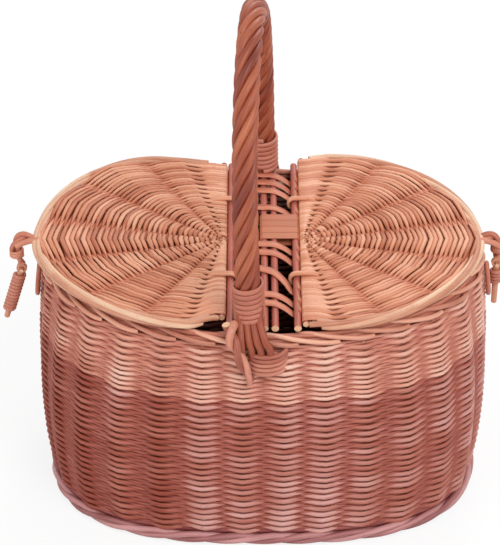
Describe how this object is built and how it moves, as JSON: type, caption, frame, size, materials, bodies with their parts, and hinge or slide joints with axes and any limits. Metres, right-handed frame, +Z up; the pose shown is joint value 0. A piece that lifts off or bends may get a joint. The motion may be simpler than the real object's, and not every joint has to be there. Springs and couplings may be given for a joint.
{
  "type": "picnic basket",
  "caption": "Oval woven willow picnic basket with a roped bow handle and two lids that hinge on a bridge of sticks.",
  "frame": {"origin": "middle of the floor's flat underside, which stands on z = 0", "axes": "+X along the basket's length, towards the right lid; +Y towards the back; +Z up"},
  "size_m": [0.4591, 0.2981, 0.483],
  "materials": {
    "siding_red": "woven willow, darker and reddish",
    "siding_tan": "woven willow, lighter, pinkish tan",
    "stake": "willow rod",
    "base": "woven willow floor",
    "border": "willow rod ends",
    "bridge_stick": "willow stick, peeled",
    "hinge_stick": "reddish willow stick",
    "skein": "split willow skein, flat",
    "rope": "roped willow, reddish brown",
    "binding": "thin cane, closely wound",
    "lid_weave": "woven willow, pale and yellowish",
    "lid_rod": "willow rod, pale, with cut ends",
    "tie": "twisted willow tie",
    "peg": "whittled willow peg"
  },
  "bodies": {
    "root": {"base_long_sticks": "stake", "base_cross_sticks": "stake", "base_weave": "base", "foot_wale": "siding_red", "side_stakes": "stake", "lower_siding": "siding_red", "upper_siding": "siding_tan", "rim_border": "border", "bridge_hinge_stick_left": "hinge_stick", "bridge_hinge_stick_right": "hinge_stick", "bridge_inner_sticks": "bridge_stick", "bridge_skeins": "skein", "bridge_wrap": "skein", "handle_core": "stake", "handle_strands": "rope", "handle_binding_front": "binding", "handle_binding_back": "binding", "front_splay_rods": "rope", "back_splay_rods": "rope", "front_tail": "rope", "front_lashing": "binding", "left_wall_ring": "tie", "right_wall_ring": "tie"},
    "left_lid": {"left_lid_edge_stick": "lid_rod", "left_lid_rim_rods": "lid_rod", "left_lid_ribs": "lid_rod", "left_lid_weave": "lid_weave", "left_lid_hinge_loops": "tie", "left_lid_tie": "tie"},
    "right_lid": {"right_lid_edge_stick": "lid_rod", "right_lid_rim_rods": "lid_rod", "right_lid_ribs": "lid_rod", "right_lid_weave": "lid_weave", "right_lid_hinge_loops": "tie", "right_lid_tie": "tie"},
    "left_peg": {"left_peg": "peg", "left_peg_whipping": "binding"},
    "right_peg": {"right_peg": "peg", "right_peg_collar": "tie"}
  },
  "joints": [
    {"name": "left_lid_hinge", "type": "hinge", "parent": "root", "child": "left_lid", "pos_m": [-0.0295, 0, 0.2414], "axis": [0, 1, 0], "range_deg": [0, 75]},
    {"name": "right_lid_hinge", "type": "hinge", "parent": "root", "child": "right_lid", "pos_m": [0.0295, 0, 0.2414], "axis": [0, -1, 0], "range_deg": [0, 95]},
    {"name": "left_peg_swing", "type": "hinge", "parent": "left_lid", "child": "left_peg", "pos_m": [-0.221, 0, 0.2148], "axis": [0, 1, 0], "range_deg": [-17, 60]},
    {"name": "right_peg_swing", "type": "hinge", "parent": "right_lid", "child": "right_peg", "pos_m": [0.2135, 0, 0.2208], "axis": [0, -1, 0], "range_deg": [0, 75]}
  ]
}
